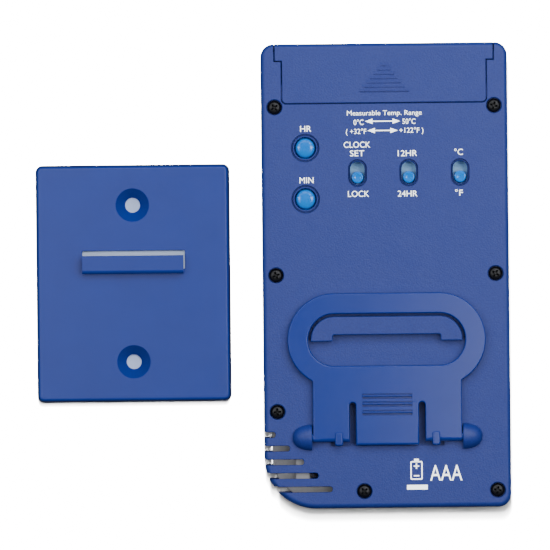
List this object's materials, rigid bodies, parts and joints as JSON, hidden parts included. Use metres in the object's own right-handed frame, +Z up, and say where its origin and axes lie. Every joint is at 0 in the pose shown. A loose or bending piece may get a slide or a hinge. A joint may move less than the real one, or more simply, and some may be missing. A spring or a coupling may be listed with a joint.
{
  "type": "maximum minimum thermometer",
  "caption": "Blue handheld digital max-min thermometer lying on its display, back up, with a fold-out stand, sliding battery door, switches, corner vents and a loose wall bracket.",
  "frame": {"origin": "centre of the footprint of the case and the bracket lying beside it, on the plane they lie on", "axes": "+Z up, out of the back of the case; +Y along the case towards the battery door; +X to the right as seen from above"},
  "size_m": [0.1326, 0.13, 0.0213],
  "materials": {
    "case_blue": "fine moulded grain, satin",
    "smooth_blue": "smooth moulded, semi-gloss",
    "button_blue": "polished bright blue",
    "display_lens": "clear acrylic",
    "lcd_glass": "liquid crystal display glass over a reflector",
    "white_plastic": "moulded",
    "grey_rubber": "silicone rubber",
    "contact_rubber": "layered conductive silicone rubber",
    "circuit_board": "solder mask over glass laminate",
    "black_epoxy": "cured epoxy",
    "black_steel": "black zinc",
    "plated_steel": "nickel plated",
    "wiper_brass": "sprung strip",
    "tray_grey": "moulded",
    "cell_sleeve": "shrink sleeve on a steel can",
    "wire_red": "pvc insulation",
    "wire_black": "pvc insulation",
    "legend_white": "pad printed ink"
  },
  "bodies": {
    "case": {"rear_cover": "case_blue", "front_shell": "case_blue", "display_lens": "display_lens", "lcd_panel": "lcd_glass", "lcd_holder": "white_plastic", "contact_strip": "contact_rubber", "front_keypad": "grey_rubber", "main_board": "circuit_board", "processor_blob": "black_epoxy", "crystal": "plated_steel", "hr_tact_switch": "black_epoxy", "min_tact_switch": "black_epoxy", "battery": "cell_sleeve", "battery_spring": "plated_steel", "negative_contact": "plated_steel", "positive_contact": "plated_steel", "red_wire": "wire_red", "black_wire": "wire_black", "sensor_tray": "tray_grey", "temperature_sensor": "plated_steel", "case_screw_1": "black_steel", "case_screw_2": "black_steel", "case_screw_3": "black_steel", "case_screw_4": "black_steel", "case_screw_5": "black_steel", "case_screw_6": "black_steel", "case_screw_7": "black_steel", "board_screw_1": "plated_steel", "board_screw_2": "plated_steel", "board_screw_3": "plated_steel", "board_screw_4": "plated_steel", "board_screw_5": "plated_steel", "board_screw_6": "plated_steel"},
    "battery_door": {"battery_door": "case_blue"},
    "stand": {"stand": "smooth_blue"},
    "hr_button": {"hr_button": "button_blue"},
    "min_button": {"min_button": "button_blue"},
    "clock_switch": {"clock_slider": "button_blue", "clock_wiper": "wiper_brass"},
    "hour_switch": {"hour_slider": "button_blue", "hour_wiper": "wiper_brass"},
    "unit_switch": {"unit_slider": "button_blue", "unit_wiper": "wiper_brass"},
    "left_key": {"left_front_key": "button_blue"},
    "middle_key": {"middle_front_key": "button_blue"},
    "right_key": {"right_front_key": "button_blue"},
    "wall_bracket": {"wall_bracket": "smooth_blue"}
  },
  "joints": [
    {"name": "battery_door_slide", "type": "slide", "parent": "case", "child": "battery_door", "axis": [0, 1, 0], "range_m": [0, 0.02]},
    {"name": "stand_hinge", "type": "hinge", "parent": "case", "child": "stand", "pos_m": [0.03185, -0.0451, 0.0195], "axis": [1, 0, 0], "range_deg": [0, 100]},
    {"name": "hr_button_press", "type": "slide", "parent": "case", "child": "hr_button", "axis": [0, 0, -1], "range_m": [0, 0.0007], "stiffness_N_per_m": 2000},
    {"name": "min_button_press", "type": "slide", "parent": "case", "child": "min_button", "axis": [0, 0, -1], "range_m": [0, 0.0007], "stiffness_N_per_m": 2000},
    {"name": "clock_switch_slide", "type": "slide", "parent": "case", "child": "clock_switch", "axis": [0, 1, 0], "range_m": [0, 0.0024]},
    {"name": "hour_switch_slide", "type": "slide", "parent": "case", "child": "hour_switch", "axis": [0, 1, 0], "range_m": [0, 0.0024]},
    {"name": "unit_switch_slide", "type": "slide", "parent": "case", "child": "unit_switch", "axis": [0, 1, 0], "range_m": [0, 0.0024]},
    {"name": "left_key_press", "type": "slide", "parent": "case", "child": "left_key", "axis": [0, 0, 1], "range_m": [0, 0.0007], "stiffness_N_per_m": 2000},
    {"name": "middle_key_press", "type": "slide", "parent": "case", "child": "middle_key", "axis": [0, 0, 1], "range_m": [0, 0.0007], "stiffness_N_per_m": 2000},
    {"name": "right_key_press", "type": "slide", "parent": "case", "child": "right_key", "axis": [0, 0, 1], "range_m": [0, 0.0007], "stiffness_N_per_m": 2000},
    {"name": "wall_bracket_lift", "type": "slide", "parent": "case", "child": "wall_bracket", "axis": [0, 0, 1], "range_m": [0, 0.03]}
  ]
}
